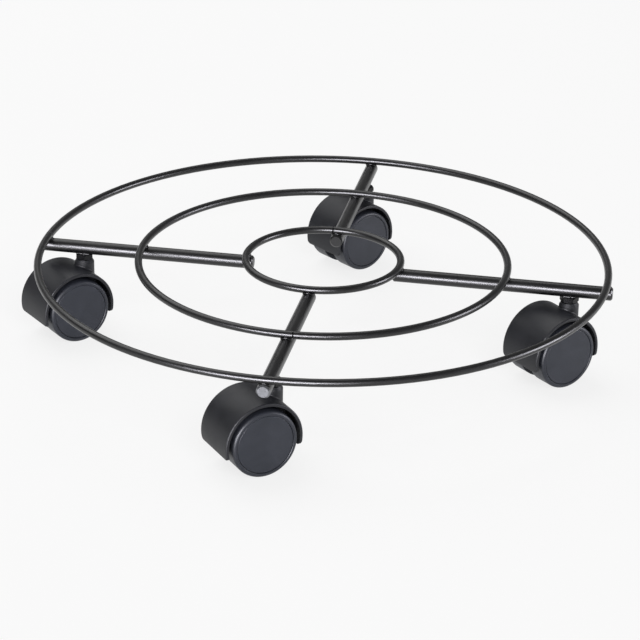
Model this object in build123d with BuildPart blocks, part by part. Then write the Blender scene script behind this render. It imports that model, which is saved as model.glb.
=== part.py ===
from build123d import *
import os

# Plant caddy: three wire rings welded on four rod spokes, carried by four swivel casters.
# Millimetres. Z points up, Z = 0 is the floor, and the Z axis runs through the ring centres.
# The front spoke lies along -Y and the right spoke along +X.

# Frame
outer_ring_diameter = 350.0     # over the wire
middle_ring_diameter = 228.8    # over the wire
inner_ring_diameter = 99.0      # over the wire
wire_diameter = 4.6
spoke_diameter = 8.2
weld_sink = 0.4                 # how far each ring is pressed into the spokes it is welded to
spoke_outer_overhang = 3.5      # spoke end beyond the outer ring's centreline
spoke_inner_overhang = 4.0      # spoke end inside the inner ring's centreline
spoke_end_chamfer = 0.9
ring_joint_angles = {"outer_ring": 180.0, "middle_ring": 272.0, "inner_ring": 93.0}
ring_joint_width = 0.8          # open groove where a ring's two ends meet
ring_joint_depth = 0.7

# Caster places and the way each caster trails, in degrees from +X
caster_inset = 24.5             # from the outer ring's outer edge in to each swivel axis
spoke_angles = {"right": 0.0, "back": 90.0, "left": 180.0, "front": 270.0}
caster_headings = {"right": -134.5, "back": -128.5, "left": -135.4, "front": -140.8}

# Nut under each spoke
nut_across_flats = 10.0
nut_height = 3.2
nut_sink = 0.5                  # how far the spoke beds into the nut it is welded to
nut_turns = {"right": 0.0, "back": 0.0, "left": -14.0, "front": 0.0}
thread_clearance = 0.05

# Stem
stem_diameter = 6.0
stem_length = 19.0              # below the collar
stem_tip_chamfer = 0.8
collar_diameter = 8.0
collar_thickness = 0.9
stem_clearance = 0.06           # radial running fit in the socket
thrust_gap = 0.1                # collar over the floor of the socket's mouth
stem_end_gap = 0.6              # under the tip of the stem

# Clip ring that keeps the stem in its socket
clip_depth = 4.6                # from the top of the neck down to the ring
clip_thickness = 1.0
clip_radial = 1.25
clip_groove_depth = 0.6         # groove in the stem
clip_mouth = 2.4
clip_side_gap = 0.2

# Wheels
wheel_diameter = 40.0
caster_width = 34.6             # over both wheel faces
trail = 12.7                    # from the swivel axis back to the axle
tread_wall = 2.2
shoulder_radius = 1.8
inner_edge_radius = 0.6
disc_thickness = 1.8
cap_diameter = 34.5
cap_thickness = 1.2
cap_crown = 0.4
cap_edge_radius = 0.4
cap_setback = 0.3               # cap's rim below the wheel's face
cap_clearance = 0.2
cap_seat_chamfer = 0.2
hub_wall = 2.0
hub_side_gap = 0.3              # hub face to the housing's web
rib_count = 6
rib_thickness = 1.2
rib_setback = 1.6               # rib edge behind the tread's inner edge

# Axle
axle_diameter = 5.0
axle_clearance = 0.06           # radial running fit in the hub
retainer_diameter = 9.6
retainer_thickness = 0.6
retainer_play = 0.2
axle_tip = 0.5                  # axle end beyond its retainer
axle_groove_depth = 0.35
retainer_cover_gap = 0.6        # axle end to the cap
retainer_side_gap = 1.2         # retainer to the wall of its pocket in the wheel
pocket_wall = 1.2

# Housing
hood_gap = 2.2                  # wheel tread to the hood
hood_wall = 1.8
hood_width = 31.9
hood_rise = 0.35                # the hood's centre above the axle
lip_drop = 5.8                  # hood lips below the axle
hood_edge_radius = 0.7          # all round the hood's outer surface, lips included
lip_corner_radius = 2.5
neck_fillet = 0.8
web_thickness = 3.0
boss_wall = 4.5
socket_wall = 0.94              # beside the stem, between the wheels
socket_side_gap = 0.6           # socket to the wheels' inner edges
socket_floor = 2.0
neck_rise = 2.75                # neck rim above the hood's crown
mouth_clearance = 0.3
mouth_depth = 0.6
neck_rim_width = 0.6
neck_cone_run = 1.1
neck_cone_height = 1.9

# Heights that follow, from the floor up
wheel_radius = wheel_diameter / 2
axle_height = wheel_radius
hood_height = axle_height + hood_rise
hood_inner_radius = wheel_radius + hood_gap
hood_radius = hood_inner_radius + hood_wall
neck_top = hood_height + hood_radius + neck_rise
collar_bottom = neck_top - mouth_depth + thrust_gap
collar_top = collar_bottom + collar_thickness
nut_top = collar_top + nut_height
spoke_bottom = nut_top - nut_sink
spoke_height = spoke_bottom + spoke_diameter / 2
ring_height = spoke_height + (spoke_diameter + wire_diameter) / 2 - weld_sink

# Radii that follow
wire_radius = wire_diameter / 2
caster_radius = outer_ring_diameter / 2 - caster_inset
outer_ring_radius = outer_ring_diameter / 2 - wire_radius
middle_ring_radius = middle_ring_diameter / 2 - wire_radius
inner_ring_radius = inner_ring_diameter / 2 - wire_radius
spoke_start = inner_ring_radius - spoke_inner_overhang
spoke_length = outer_ring_radius + spoke_outer_overhang - spoke_start
stem_radius = stem_diameter / 2
bore_radius = stem_radius + stem_clearance
mouth_radius = collar_diameter / 2 + mouth_clearance
rim_radius = mouth_radius + neck_rim_width
neck_radius = rim_radius + neck_cone_run
stem_tip = collar_bottom - stem_length
bore_floor = stem_tip - stem_end_gap
clip_top = neck_top - clip_depth
clip_inner_radius = stem_radius - clip_groove_depth
clip_outer_radius = clip_inner_radius + clip_radial
clip_bottom = clip_top - clip_thickness

# Widths that follow, from the middle of a caster out
web_half = web_thickness / 2
socket_half = bore_radius + socket_wall
tread_inner = socket_half + socket_side_gap
wheel_face = caster_width / 2
hub_start = web_half + hub_side_gap
cap_seat = wheel_face - cap_thickness - cap_setback
cap_radius = cap_diameter / 2
axle_half = cap_seat - retainer_cover_gap
retainer_outer = axle_half - axle_tip
retainer_inner = retainer_outer - retainer_thickness
hub_end = retainer_inner - retainer_play
axle_radius = axle_diameter / 2
hub_bore = axle_radius + axle_clearance
hub_radius = hub_bore + hub_wall
pocket_radius = retainer_diameter / 2 + retainer_side_gap

os.makedirs("parts", exist_ok=True)


def write(piece, name):
    piece.part.label = name
    export_step(piece.part, f"parts/{name}.step")


# Rings: round wire bent to a circle, its two ends meeting at a groove
def wire_ring(radius):
    with BuildPart() as ring:
        with BuildSketch(Plane.XZ):
            with Locations((radius, ring_height)):
                Circle(wire_radius)
        revolve(axis=Axis.Z)
    return ring


def ring_joint(radius):
    rim = radius + wire_radius
    with BuildPart() as groove:
        with BuildSketch(Plane.XY.offset(ring_height)):
            with BuildLine():
                Polyline(
                    (rim - ring_joint_depth, 0),
                    (rim + ring_joint_depth, ring_joint_width),
                    (rim + ring_joint_depth, -ring_joint_width),
                    close=True,
                )
            make_face()
        revolve(axis=Axis((radius, 0, ring_height), (0, 1, 0)))
    return groove


ring_radii = {
    "outer_ring": outer_ring_radius,
    "middle_ring": middle_ring_radius,
    "inner_ring": inner_ring_radius,
}
rings = {name: wire_ring(radius) for name, radius in ring_radii.items()}
for name, radius in ring_radii.items():
    with BuildPart() as jointed:
        add(rings[name].part)
        with Locations(Location((0, 0, 0), (0, 0, ring_joint_angles[name]))):
            add(ring_joint(radius).part, mode=Mode.SUBTRACT)
    write(jointed, name)


# Spokes: straight rods under the rings, with a shallow seat where each ring is welded
def spoke_plane(angle):
    return Plane.XY.rotated((0, 0, angle))


def spoke(angle):
    frame_plane = spoke_plane(angle)
    end_plane = Plane(
        origin=frame_plane.from_local_coords(Vector(spoke_start, 0, spoke_height)),
        x_dir=frame_plane.y_dir,
        z_dir=frame_plane.x_dir,
    )
    with BuildPart() as rod:
        with BuildSketch(end_plane):
            Circle(spoke_diameter / 2)
        extrude(amount=spoke_length)
        chamfer(rod.edges().filter_by(GeomType.CIRCLE), spoke_end_chamfer)
        for ring in rings.values():
            add(ring.part, mode=Mode.SUBTRACT)
    return rod


spokes = {side: spoke(angle) for side, angle in spoke_angles.items()}
for side, rod in spokes.items():
    write(rod, f"spoke_{side}")


def swivel_location(side):
    angle = spoke_angles[side]
    foot = Vector(caster_radius, 0, 0).rotate(Axis.Z, angle)
    return Location((foot.X, foot.Y, 0), (0, 0, caster_headings[side]))


# Nuts: thin hexagon nuts with chamfered corners, bedded on the spokes and welded
def nut(side):
    foot = swivel_location(side).position
    corner = nut_across_flats / 2 / 0.866
    slope = (corner - nut_across_flats / 2) * 0.9
    with BuildPart() as body:
        with BuildSketch(Plane.XY.offset(collar_top)):
            with Locations((foot.X, foot.Y)):
                RegularPolygon(nut_across_flats / 2, 6, major_radius=False, rotation=nut_turns[side])
        extrude(amount=nut_height)
        with BuildSketch(Plane.XZ.offset(-foot.Y)):
            with BuildLine():
                Polyline(
                    (foot.X, collar_top),
                    (foot.X + nut_across_flats / 2, collar_top),
                    (foot.X + corner, collar_top + slope),
                    (foot.X + corner, nut_top - slope),
                    (foot.X + nut_across_flats / 2, nut_top),
                    (foot.X, nut_top),
                    close=True,
                )
            make_face()
        revolve(axis=Axis((foot.X, foot.Y, 0), (0, 0, 1)), mode=Mode.INTERSECT)
        with Locations((foot.X, foot.Y, collar_top)):
            Cylinder(
                stem_radius + thread_clearance,
                nut_height,
                align=(Align.CENTER, Align.CENTER, Align.MIN),
                mode=Mode.SUBTRACT,
            )
        add(spokes[side].part, mode=Mode.SUBTRACT)
    return body


# Stem: threaded end up in the nut, collar, plain journal with a groove near its top
with BuildPart() as stem:
    with BuildSketch(Plane.XZ):
        with BuildLine():
            Polyline(
                (0, stem_tip),
                (stem_radius - stem_tip_chamfer, stem_tip),
                (stem_radius, stem_tip + stem_tip_chamfer),
                (stem_radius, clip_bottom),
                (clip_inner_radius, clip_bottom),
                (clip_inner_radius, clip_top),
                (stem_radius, clip_top),
                (stem_radius, collar_bottom),
                (collar_diameter / 2, collar_bottom),
                (collar_diameter / 2, collar_top),
                (stem_radius, collar_top),
                (stem_radius, spoke_bottom - thread_clearance),
                (0, spoke_bottom - thread_clearance),
                close=True,
            )
        make_face()
    revolve(axis=Axis.Z)

# Clip ring: flat spring ring, open on one side, snapped into the stem's groove
with BuildPart() as clip_ring:
    with BuildSketch(Plane.XY.offset(clip_bottom)):
        Circle(clip_outer_radius)
        Circle(clip_inner_radius, mode=Mode.SUBTRACT)
        with Locations((clip_outer_radius, 0)):
            Rectangle(2 * clip_outer_radius, clip_mouth, mode=Mode.SUBTRACT)
    extrude(amount=clip_thickness)

# Housing: curved hood over both wheels, middle web with the axle boss, and the stem socket
with BuildPart() as housing:
    # hood blank, cut off level at the two lips
    with BuildSketch(Plane.XZ):
        with Locations((trail, hood_height)):
            Circle(hood_radius)
        with Locations((trail, axle_height - lip_drop)):
            Rectangle(
                2 * hood_radius,
                2 * hood_radius,
                align=(Align.CENTER, Align.MAX),
                mode=Mode.SUBTRACT,
            )
    extrude(amount=hood_width / 2, both=True)
    fillet(housing.edges().filter_by(Axis.X), lip_corner_radius)
    hood = housing.faces().filter_by(GeomType.CYLINDER).sort_by(SortBy.AREA)[-1]
    fillet(hood.edges(), hood_edge_radius)
    # neck with its cone, over the swivel axis
    with BuildSketch(Plane.XZ):
        with BuildLine():
            Polyline(
                (0, axle_height),
                (neck_radius, axle_height),
                (neck_radius, neck_top - neck_cone_height),
                (rim_radius, neck_top),
                (0, neck_top),
                close=True,
            )
        make_face()
    revolve(axis=Axis.Z)
    seam = housing.edges(Select.LAST).filter_by(GeomType.CIRCLE, reverse=True)
    fillet(seam.filter_by(GeomType.LINE, reverse=True), neck_fillet)
    # wheel wells: beyond the socket, then between the socket and the web
    for side in (1, -1):
        with BuildSketch(Plane.XZ.offset(-side * socket_half)):
            with Locations((trail, hood_height)):
                Circle(hood_inner_radius)
        extrude(amount=-side * hood_width, mode=Mode.SUBTRACT)
        with BuildSketch(Plane.XZ.offset(-side * web_half)):
            with Locations((trail, hood_height)):
                Circle(hood_inner_radius)
            with Locations((0, bore_floor - socket_floor)):
                Rectangle(
                    2 * neck_radius,
                    2 * hood_radius,
                    align=(Align.CENTER, Align.MIN),
                    mode=Mode.SUBTRACT,
                )
        extrude(amount=-side * (socket_half - web_half), mode=Mode.SUBTRACT)
    # axle boss in the web
    with BuildSketch(Plane.XZ):
        with Locations((trail, axle_height)):
            Circle(axle_radius + boss_wall)
    extrude(amount=web_half, both=True)
    with BuildSketch(Plane.XZ):
        with Locations((trail, axle_height)):
            Circle(axle_radius)
    extrude(amount=hood_width, both=True, mode=Mode.SUBTRACT)
    # stem socket with its open mouth and the groove for the clip ring
    with Locations((0, 0, neck_top)):
        Hole(bore_radius, depth=neck_top - bore_floor)
        Hole(mouth_radius, depth=mouth_depth)
    with Locations((0, 0, clip_bottom - clip_side_gap)):
        Cylinder(
            clip_outer_radius + clip_side_gap,
            clip_thickness + 2 * clip_side_gap,
            align=(Align.CENTER, Align.CENTER, Align.MIN),
            mode=Mode.SUBTRACT,
        )

# Axle: pin through the web with a groove near each end for its retainer
with BuildPart() as axle:
    with BuildSketch(Plane.XY.offset(axle_height)):
        with BuildLine():
            Polyline(
                (trail, -axle_half),
                (trail + axle_radius - axle_groove_depth, -axle_half),
                (trail + axle_radius, -axle_half + axle_groove_depth),
                (trail + axle_radius, -retainer_outer),
                (trail + axle_radius - axle_groove_depth, -retainer_outer),
                (trail + axle_radius - axle_groove_depth, -retainer_inner),
                (trail + axle_radius, -retainer_inner),
                (trail + axle_radius, retainer_inner),
                (trail + axle_radius - axle_groove_depth, retainer_inner),
                (trail + axle_radius - axle_groove_depth, retainer_outer),
                (trail + axle_radius, retainer_outer),
                (trail + axle_radius, axle_half - axle_groove_depth),
                (trail + axle_radius - axle_groove_depth, axle_half),
                (trail, axle_half),
                close=True,
            )
        make_face()
    revolve(axis=Axis((trail, 0, axle_height), (0, 1, 0)))

# Axle retainers: flat spring washers, each open on one side
with BuildPart() as retainers:
    for side in (1, -1):
        with BuildSketch(Plane.XZ.offset(-side * retainer_inner)):
            with Locations((trail, axle_height)):
                Circle(retainer_diameter / 2)
                Circle(axle_radius - axle_groove_depth, mode=Mode.SUBTRACT)
            with Locations((trail, axle_height)):
                Rectangle(
                    axle_radius,
                    retainer_diameter,
                    align=(Align.CENTER, Align.MAX),
                    mode=Mode.SUBTRACT,
                )
        extrude(amount=-side * retainer_thickness)


# Wheel: tread, closed outer disc with a seat for its cap, hub, and ribs on the inner side
def wheel(side):
    axis = Axis((trail, 0, axle_height), (0, 1, 0))
    inside = wheel_radius - tread_wall
    disc_back = cap_seat - disc_thickness
    pocket_back = hub_end - pocket_wall
    seat = cap_radius + cap_clearance
    profile = [
        (hub_bore, hub_start),
        (hub_radius, hub_start),
        (hub_radius, pocket_back),
        (pocket_radius + pocket_wall, pocket_back),
        (pocket_radius + pocket_wall, disc_back),
        (inside, disc_back),
        (inside, tread_inner),
        (wheel_radius, tread_inner),
        (wheel_radius, wheel_face),
        (seat + cap_seat_chamfer, wheel_face),
        (seat, wheel_face - cap_seat_chamfer),
        (seat, cap_seat),
        (hub_bore, cap_seat),
    ]
    with BuildPart() as body:
        with BuildSketch(Plane.XY.offset(axle_height)) as section:
            with BuildLine():
                Polyline(*[(trail + r, side * y) for r, y in profile], close=True)
            make_face()
            corners = section.vertices().group_by(Axis.X)[-1].sort_by(Axis.Y)
            outer, inner = (corners[-1], corners[0]) if side > 0 else (corners[0], corners[-1])
            fillet(outer, shoulder_radius)
            fillet(inner, inner_edge_radius)
        revolve(axis=axis)
        rib_start = tread_inner + rib_setback
        with BuildSketch(Plane.XZ.offset(-side * rib_start)):
            with Locations((trail, axle_height)):
                with PolarLocations(0, rib_count):
                    with Locations(((hub_radius + inside) / 2, 0)):
                        Rectangle(inside - hub_radius + tread_wall, rib_thickness)
        extrude(amount=-side * (disc_back - rib_start + disc_thickness / 2))
        with BuildSketch(Plane.XZ.offset(-side * hub_end)):
            with Locations((trail, axle_height)):
                Circle(pocket_radius)
        extrude(amount=-side * (cap_seat - hub_end), mode=Mode.SUBTRACT)
    return body


# Wheel cap: thin crowned disc pressed into the wheel's outer face
def wheel_cap(side):
    rim = side * (cap_seat + cap_thickness)
    crown = rim + side * cap_crown
    with BuildPart() as body:
        with BuildSketch(Plane.XY.offset(axle_height)) as section:
            with BuildLine():
                Polyline(
                    (trail, crown),
                    (trail, side * cap_seat),
                    (trail + cap_radius, side * cap_seat),
                    (trail + cap_radius, rim),
                )
                TangentArc((trail, crown), (trail + cap_radius, rim), tangent=(1, 0))
            make_face()
            corners = section.vertices().group_by(Axis.X)[-1].sort_by(Axis.Y)
            fillet(corners[-1] if side > 0 else corners[0], cap_edge_radius)
        revolve(axis=Axis((trail, 0, axle_height), (0, 1, 0)))
    return body


caster_pieces = {
    "caster_stem": stem,
    "caster_clip_ring": clip_ring,
    "caster_housing": housing,
    "caster_axle": axle,
    "caster_axle_retainers": retainers,
    "caster_wheel_right": wheel(1),
    "caster_wheel_left": wheel(-1),
    "caster_cap_right": wheel_cap(1),
    "caster_cap_left": wheel_cap(-1),
}

# Four casters: each piece is set under its spoke and turned to the caster's heading
for side in spoke_angles:
    write(nut(side), f"{side}_caster_nut")
    for piece_name, piece in caster_pieces.items():
        with BuildPart() as placed:
            with Locations(swivel_location(side)):
                add(piece.part)
        write(placed, f"{side}_{piece_name}")
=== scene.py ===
import math

import bmesh
import bpy
from mathutils import Matrix, Vector


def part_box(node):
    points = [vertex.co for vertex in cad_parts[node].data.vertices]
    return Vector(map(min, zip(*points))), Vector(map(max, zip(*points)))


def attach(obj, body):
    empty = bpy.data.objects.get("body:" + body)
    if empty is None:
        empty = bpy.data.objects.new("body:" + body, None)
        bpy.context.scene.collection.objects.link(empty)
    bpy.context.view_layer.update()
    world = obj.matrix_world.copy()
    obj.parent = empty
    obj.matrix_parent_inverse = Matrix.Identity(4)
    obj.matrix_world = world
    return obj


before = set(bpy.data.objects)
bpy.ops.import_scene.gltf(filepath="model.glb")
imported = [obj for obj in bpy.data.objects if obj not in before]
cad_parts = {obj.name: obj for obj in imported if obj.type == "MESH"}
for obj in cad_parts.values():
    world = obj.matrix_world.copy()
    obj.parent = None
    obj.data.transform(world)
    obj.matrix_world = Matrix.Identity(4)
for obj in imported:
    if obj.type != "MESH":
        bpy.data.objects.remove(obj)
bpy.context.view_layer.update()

MM = 0.001
UP = Vector((0, 0, 1))
SIDES = ("right", "back", "left", "front")
RINGS = ("outer_ring", "middle_ring", "inner_ring")

# Real sizes, in millimetres, as the solids have them
WIRE_RADIUS = 2.3
SPOKE_RADIUS = 4.1
WELD_SINK = 0.4

# Ring welds, in millimetres
RING_BEAD = 0.5             # radius of the bead round each crossing
WELD_REACH_OUT = 2.0        # along the spoke, from the ring's centreline
WELD_REACH_OVER = 3.1       # along the ring, from the spoke's axis
RING_BEAD_POINTS = 26

# Nut welds, in millimetres
NUT_BEAD = 0.62
NUT_BEAD_LENGTH = 8.4
NUT_BEAD_OFFSET = 2.9       # from the spoke's axis to either side
NUT_BEAD_RISE = 0.35        # above the nut's top
NUT_BEAD_WANDER = 0.12
NUT_BEAD_POINTS = 14

# The front spoke's bare end, in millimetres
BARE_END_DEPTH = 1.15       # reaches over the end's chamfer
BARE_END_RAGGED = 0.5       # how far the coat's edge wanders

FLOOR_REACH = 300.0         # metres, half the floor's side, out to a low view's horizon
FLOOR_WHITE_SHARE = 0.80    # how much of the floor's look is plain white
WORLD_STRENGTH = 0.22


# Node helpers
def new_material(name):
    material = bpy.data.materials.new(name)
    material.use_nodes = True
    tree = material.node_tree
    return material, tree, tree.nodes["Principled BSDF"]


def place(tree, kind, **values):
    """Adds a node of this kind, with these settings."""
    node = tree.nodes.new(kind)
    for key, value in values.items():
        setattr(node, key, value)
    return node


def noise(tree, size_mm, detail=2.0, roughness=0.5, distortion=0.0):
    """Noise with features about size_mm across, fixed to the piece it lies on."""
    where = place(tree, "ShaderNodeTexCoord")
    node = place(tree, "ShaderNodeTexNoise")
    node.inputs["Scale"].default_value = 1 / (size_mm * MM)
    node.inputs["Detail"].default_value = detail
    node.inputs["Roughness"].default_value = roughness
    node.inputs["Distortion"].default_value = distortion
    tree.links.new(where.outputs["Object"], node.inputs["Vector"])
    return node.outputs["Fac"]


def spread(tree, value, low, high, start=0.3, end=0.7):
    """Maps a texture's middle range onto low..high."""
    node = place(tree, "ShaderNodeMapRange")
    node.inputs["From Min"].default_value = start
    node.inputs["From Max"].default_value = end
    node.inputs["To Min"].default_value = low
    node.inputs["To Max"].default_value = high
    tree.links.new(value, node.inputs["Value"])
    return node.outputs["Result"]


def tint(tree, factor, dark, light):
    """A colour between dark and light."""
    node = place(tree, "ShaderNodeMix", data_type="RGBA")
    node.inputs["A"].default_value = (*dark, 1)
    node.inputs["B"].default_value = (*light, 1)
    tree.links.new(factor, node.inputs["Factor"])
    return node.outputs["Result"]


def add_up(tree, one, other, share):
    """One value plus a share of the other."""
    node = place(tree, "ShaderNodeMath", operation="MULTIPLY_ADD")
    tree.links.new(other, node.inputs[0])
    node.inputs[1].default_value = share
    tree.links.new(one, node.inputs[2])
    return node.outputs["Value"]


def larger(tree, one, other):
    node = place(tree, "ShaderNodeMath", operation="MAXIMUM")
    tree.links.new(one, node.inputs[0])
    tree.links.new(other, node.inputs[1])
    return node.outputs["Value"]


def bump(tree, shader, height, depth_mm):
    node = place(tree, "ShaderNodeBump")
    node.inputs["Strength"].default_value = 1.0
    node.inputs["Distance"].default_value = depth_mm * MM
    tree.links.new(height, node.inputs["Height"])
    tree.links.new(node.outputs["Normal"], shader.inputs["Normal"])


def show_mix(tree, factor, one, other):
    """Makes the material's surface a mix of two shaders."""
    mix = place(tree, "ShaderNodeMixShader")
    tree.links.new(factor, mix.inputs["Fac"])
    tree.links.new(one, mix.inputs[1])
    tree.links.new(other, mix.inputs[2])
    tree.links.new(mix.outputs["Shader"], tree.nodes["Material Output"].inputs["Surface"])


# Materials
def powder_coat(name, dark, light, gloss, peel_mm=1.7, peel_depth=0.02, specular=0.52):
    """Baked powder coat: orange peel, fine grain and a slight change of gloss over the piece."""
    material, tree, shader = new_material(name)
    cloud = noise(tree, 26, 3)
    grain = noise(tree, 0.5, 2, 0.6)
    peel = noise(tree, peel_mm, 2, 0.45)
    tree.links.new(
        tint(tree, spread(tree, add_up(tree, cloud, grain, 0.35), 0, 1, 0.45, 0.9), dark, light),
        shader.inputs["Base Color"],
    )
    tree.links.new(
        spread(tree, add_up(tree, cloud, grain, 0.5), gloss - 0.05, gloss + 0.06, 0.5, 1.0),
        shader.inputs["Roughness"],
    )
    bump(tree, shader, add_up(tree, peel, grain, 0.25), peel_depth)
    shader.inputs["Specular IOR Level"].default_value = specular
    return material


def moulded(name, dark, light, gloss, grain_mm=0.35, depth=0.012, specular=0.30):
    """Moulded nylon: fine spark-eroded grain, with faint flow clouds in colour and gloss."""
    material, tree, shader = new_material(name)
    cloud = noise(tree, 14, 3, 0.55, 0.6)
    grain = noise(tree, grain_mm, 3, 0.6)
    tree.links.new(
        tint(tree, spread(tree, add_up(tree, cloud, grain, 0.3), 0, 1, 0.4, 0.9), dark, light),
        shader.inputs["Base Color"],
    )
    tree.links.new(
        spread(tree, add_up(tree, cloud, grain, 0.4), gloss - 0.06, gloss + 0.06, 0.45, 0.95),
        shader.inputs["Roughness"],
    )
    bump(tree, shader, grain, depth)
    shader.inputs["Specular IOR Level"].default_value = specular
    return material


def steel(name, dark, light, gloss):
    """Plated or spring steel with fine marks and a cloudy finish."""
    material, tree, shader = new_material(name)
    shader.inputs["Metallic"].default_value = 1.0
    cloud = noise(tree, 2.2, 3, 0.6, 0.4)
    grain = noise(tree, 0.5, 3, 0.6)
    tree.links.new(
        tint(tree, spread(tree, add_up(tree, cloud, grain, 0.5), 0, 1, 0.5, 1.0), dark, light),
        shader.inputs["Base Color"],
    )
    tree.links.new(spread(tree, grain, gloss - 0.07, gloss + 0.08), shader.inputs["Roughness"])
    bump(tree, shader, grain, 0.01)
    return material


def bare_end_coat(name, coat_dark, coat_light, gloss):
    """The front spoke's coat, which gives way to bare cut steel at the end, with a ragged edge."""
    material = powder_coat(name, coat_dark, coat_light, gloss)
    tree = material.node_tree
    coat = tree.nodes["Principled BSDF"]
    metal = place(tree, "ShaderNodeBsdfPrincipled")
    metal.inputs["Metallic"].default_value = 1.0
    shear = noise(tree, 1.6, 3, 0.6, 0.8)
    grain = noise(tree, 0.5, 2, 0.6)
    tree.links.new(
        tint(tree, spread(tree, add_up(tree, shear, grain, 0.5), 0, 1, 0.5, 1.0),
             (0.19, 0.194, 0.206), (0.25, 0.254, 0.270)),
        metal.inputs["Base Color"],
    )
    tree.links.new(spread(tree, shear, 0.26, 0.33), metal.inputs["Roughness"])
    bump(tree, metal, shear, 0.03)

    where = place(tree, "ShaderNodeTexCoord")
    parts = place(tree, "ShaderNodeSeparateXYZ")
    tree.links.new(where.outputs["Object"], parts.inputs["Vector"])
    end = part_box("spoke_front")[0].y
    past = place(tree, "ShaderNodeMath", operation="LESS_THAN")
    tree.links.new(add_up(tree, parts.outputs["Y"], shear, BARE_END_RAGGED * MM), past.inputs[0])
    past.inputs[1].default_value = end + (BARE_END_DEPTH + BARE_END_RAGGED / 2) * MM
    show_mix(tree, past.outputs["Value"], coat.outputs["BSDF"], metal.outputs["BSDF"])
    return material


BLACK = ((0.004, 0.004, 0.0045), (0.007, 0.007, 0.0078))
frame_coat = powder_coat("frame_coat", *BLACK, gloss=0.31)
spoke_end_coat = bare_end_coat("frame_coat_with_bare_end", *BLACK, gloss=0.31)
# The nut's coat is the frame's black powder coat, made darker and with less specular here: painted
# shade for the shade the nut sits in under the spoke
nut_coat = powder_coat(
    "nut_coat", (0.003, 0.003, 0.004), (0.006, 0.006, 0.008), gloss=0.26,
    peel_mm=1.2, peel_depth=0.025, specular=0.24,
)
stem_steel = steel("plated_steel", (0.07, 0.07, 0.08), (0.13, 0.13, 0.15), gloss=0.30)
spring_steel = steel("spring_steel", (0.30, 0.30, 0.31), (0.42, 0.42, 0.44), gloss=0.34)
housing_plastic = moulded(
    "housing_plastic", (0.0100, 0.0108, 0.0145), (0.0148, 0.0160, 0.0212), gloss=0.47,
    specular=0.32,
)
wheel_plastic = moulded(
    "wheel_plastic", (0.026, 0.029, 0.040), (0.034, 0.038, 0.052), gloss=0.43,
    grain_mm=0.3, depth=0.008,
)
cap_plastic = moulded(
    "cap_plastic", (0.029, 0.033, 0.045), (0.039, 0.043, 0.058), gloss=0.42,
    grain_mm=0.3, depth=0.008,
)

# The first words found in a node's name give its finish
FINISHES = (
    ("spoke_front", spoke_end_coat),
    ("spoke_", frame_coat),
    ("_clip_ring", spring_steel),
    ("_ring", frame_coat),
    ("_nut", nut_coat),
    ("_stem", stem_steel),
    ("_axle_retainers", spring_steel),
    ("_axle", stem_steel),
    ("_housing", housing_plastic),
    ("_wheel_", wheel_plastic),
    ("_cap_", cap_plastic),
)


def finish_of(node):
    for words, material in FINISHES:
        if words in node:
            return material
    raise ValueError(node)


for node_name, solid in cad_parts.items():
    solid.data.materials.clear()
    solid.data.materials.append(finish_of(node_name))
    if "_cap_" in node_name:        # even shading over the crown, up to its centre
        solid.modifiers.new("one_centre", "WELD").merge_threshold = 1e-6
        solid.modifiers.new("even_normals", "WEIGHTED_NORMAL").keep_sharp = True


# Weld metal: a bead round each crossing of a ring and a spoke, and one along each side of the nuts
def bead(name, path, thick, closed):
    """Closed or tapered tube along a path of points in mm, slightly lumpy as weld metal sets."""
    sides = 9
    count = len(path)
    tube = bmesh.new()
    hoops = []
    for i, point in enumerate(path):
        ahead = path[(i + 1) % count] if closed or i + 1 < count else point
        behind = path[i - 1] if closed or i else point
        along = (ahead - behind).normalized()
        across = along.cross(UP).normalized()
        upward = across.cross(along)
        run = math.sin(math.pi * (i + 0.35) / (count - 0.3))
        taper = 1.0 if closed else max(0.12, run) ** 0.45
        hoop = []
        for j in range(sides):
            turn = 2 * math.pi * j / sides
            coarse_lump = 0.13 * math.sin(5 * i + 3 * j + 0.7 * count)
            fine_lump = 0.08 * math.sin(2.3 * i - 2 * j)
            reach = thick * taper * (1 + coarse_lump + fine_lump)
            spot = point + (across * math.cos(turn) + upward * math.sin(turn)) * reach
            hoop.append(tube.verts.new(spot * MM))
        hoops.append(hoop)
    for i in range(count if closed else count - 1):
        one, two = hoops[i], hoops[(i + 1) % count]
        for j in range(sides):
            k = (j + 1) % sides
            tube.faces.new((one[j], one[k], two[k], two[j]))
    if not closed:
        tube.faces.new(hoops[0])
        tube.faces.new(hoops[-1])
    bmesh.ops.recalc_face_normals(tube, faces=tube.faces)
    mesh = bpy.data.meshes.new(name)
    tube.to_mesh(mesh)
    tube.free()
    mesh.polygons.foreach_set("use_smooth", [True] * len(mesh.polygons))
    mesh.materials.append(frame_coat)
    piece = bpy.data.objects.new(name, mesh)
    bpy.context.scene.collection.objects.link(piece)
    smooth = piece.modifiers.new("rounding", "SUBSURF")
    smooth.levels = smooth.render_levels = 1
    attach(piece, "frame")


def axes_of(side):
    """Unit vectors along a spoke, outwards, and across it."""
    low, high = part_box("spoke_" + side)
    middle = (low + high) / 2
    out = Vector((middle.x, middle.y, 0)).normalized()
    return out, Vector((-out.y, out.x, 0))


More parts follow.
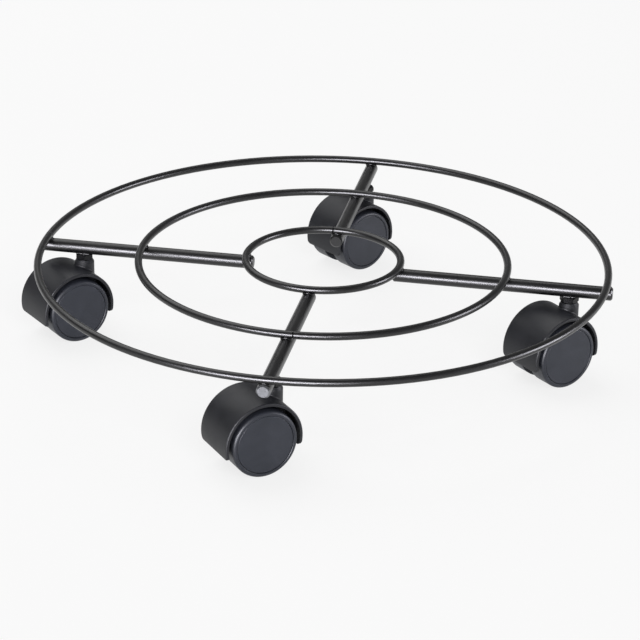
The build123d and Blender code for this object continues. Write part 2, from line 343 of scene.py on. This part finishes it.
def weld_ring(ring_name, side):
    """Bead round a crossing, halfway between the ring's underside and the spoke's top."""
    low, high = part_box(ring_name)
    ring_radius = (high.x - low.x) / MM / 2 - WIRE_RADIUS
    ring_z = (high.z + low.z) / MM / 2
    spoke_z = ring_z - WIRE_RADIUS - SPOKE_RADIUS + WELD_SINK
    out, over = axes_of(side)
    path = []
    for step in range(RING_BEAD_POINTS):
        turn = 2 * math.pi * step / RING_BEAD_POINTS
        x = WELD_REACH_OUT * math.cos(turn)
        y = WELD_REACH_OVER * math.sin(turn)
        under_ring = ring_z - math.sqrt(WIRE_RADIUS**2 - x**2)
        on_spoke = spoke_z + math.sqrt(SPOKE_RADIUS**2 - y**2)
        bend = ring_radius - math.sqrt(ring_radius**2 - y**2)
        path.append(out * (ring_radius + x - bend) + over * y + UP * (under_ring + on_spoke) / 2)
    bead(f"weld_{ring_name}_{side}", path, RING_BEAD, closed=True)


def weld_nut(side, hand, word):
    """Bead along the spoke on one side of its nut."""
    low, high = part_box(side + "_caster_nut")
    middle = (low + high) / 2 / MM
    out, over = axes_of(side)
    path = []
    for step in range(NUT_BEAD_POINTS):
        share = step / (NUT_BEAD_POINTS - 1) - 0.5
        wander = NUT_BEAD_WANDER * math.sin(2.1 * step + hand)
        path.append(
            out * (middle.dot(out) + NUT_BEAD_LENGTH * share)
            + over * (middle.dot(over) + hand * (NUT_BEAD_OFFSET + wander))
            + UP * (high.z / MM + NUT_BEAD_RISE)
        )
    bead(f"weld_nut_{side}_{word}", path, NUT_BEAD, closed=False)


for ring in RINGS:
    for spoke in SIDES:
        weld_ring(ring, spoke)
for spoke in SIDES:
    weld_nut(spoke, 1, "left")
    weld_nut(spoke, -1, "right")


# Floor, light and camera
def panel(name, place_mm, target_mm, size_mm, radiance, colour=(1, 1, 1), shows_in="all"):
    """Soft panel facing its target; radiance is what a mirror would show of it."""
    lamp = bpy.data.lights.new(name, "AREA")
    lamp.shape = "RECTANGLE"
    lamp.size, lamp.size_y = (length * MM for length in size_mm)
    lamp.energy = radiance * math.pi * lamp.size * lamp.size_y
    lamp.color = colour
    light = bpy.data.objects.new(name, lamp)
    bpy.context.scene.collection.objects.link(light)
    light.location = Vector(place_mm) * MM
    facing = Vector(target_mm) * MM - light.location
    light.rotation_euler = facing.to_track_quat("-Z", "Y").to_euler()
    light.visible_camera = False
    light.visible_diffuse = shows_in != "gloss"
    light.visible_glossy = shows_in != "diffuse"


def make_floor():
    """Pale paper floor that keeps the shadows, mostly plain white to the camera and reflections."""
    reach = FLOOR_REACH
    mesh = bpy.data.meshes.new("floor")
    mesh.from_pydata(
        [(-reach, -reach, 0), (reach, -reach, 0), (reach, reach, 0), (-reach, reach, 0)],
        [],
        [(0, 1, 2, 3)],
    )
    floor = bpy.data.objects.new("floor", mesh)
    bpy.context.scene.collection.objects.link(floor)
    material, tree, shader = new_material("floor_paper")
    cloud = spread(tree, noise(tree, 300, 2), 0, 1)
    tree.links.new(
        tint(tree, cloud, (0.90, 0.90, 0.90), (0.92, 0.92, 0.92)), shader.inputs["Base Color"]
    )
    shader.inputs["Roughness"].default_value = 0.9
    shader.inputs["Specular IOR Level"].default_value = 0.1
    white = place(tree, "ShaderNodeEmission")
    white.inputs["Color"].default_value = (1, 1, 1, 1)
    white.inputs["Strength"].default_value = 1.0
    ray = place(tree, "ShaderNodeLightPath").outputs
    seen = larger(tree, ray["Is Camera Ray"], ray["Is Glossy Ray"])
    seen = larger(tree, seen, ray["Is Transmission Ray"])
    share = place(tree, "ShaderNodeMath", operation="MULTIPLY")
    tree.links.new(seen, share.inputs[0])
    share.inputs[1].default_value = FLOOR_WHITE_SHARE
    show_mix(tree, share.outputs["Value"], shader.outputs["BSDF"], white.outputs["Emission"])
    mesh.materials.append(material)


def make_world():
    world = bpy.data.worlds.new("studio")
    bpy.context.scene.world = world
    world.use_nodes = True
    background = world.node_tree.nodes["Background"]
    background.inputs["Color"].default_value = (1, 1, 1, 1)
    background.inputs["Strength"].default_value = WORLD_STRENGTH


def make_camera():
    """The photo's camera, as fitted to the rings and spokes."""
    eye = Vector((250.05, -1367.0, 649.3)) * MM
    aim = Vector((14.9, -88.3, 60.3)) * MM
    roll = math.radians(0.93)
    lens = bpy.data.cameras.new("camera")
    lens.lens = 139.58
    lens.sensor_width = 36.0
    lens.clip_start, lens.clip_end = 0.05, 400
    camera = bpy.data.objects.new("camera", lens)
    bpy.context.scene.collection.objects.link(camera)
    back = (eye - aim).normalized()
    level = UP.cross(back).normalized()
    upright = back.cross(level)
    across = level * math.cos(roll) + upright * math.sin(roll)
    above = back.cross(across)
    turn = Matrix((across, above, back)).transposed().to_4x4()
    camera.matrix_world = Matrix.Translation(eye) @ turn
    bpy.context.scene.camera = camera


make_floor()
make_world()

# Low cards that only reflections see, for the line of light on the wires
CARD_TINT = (0.94, 0.93, 1.0)
panel("front_card", (-382, -2167, 400), (0, 0, 60), (1800, 860), 38.0, CARD_TINT, "gloss")
panel("side_card", (2178, 306, 400), (0, 0, 60), (935, 860), 17.0, CARD_TINT, "gloss")
panel("back_panel", (-1540, 1290, 2870), (0, 0, 0), (3800, 2900), 2.0)
panel("front_fill", (1800, -3400, 2600), (0, 0, 0), (2600, 2200), 5.5, shows_in="diffuse")

make_camera()
bpy.context.scene.view_settings.view_transform = "Standard"
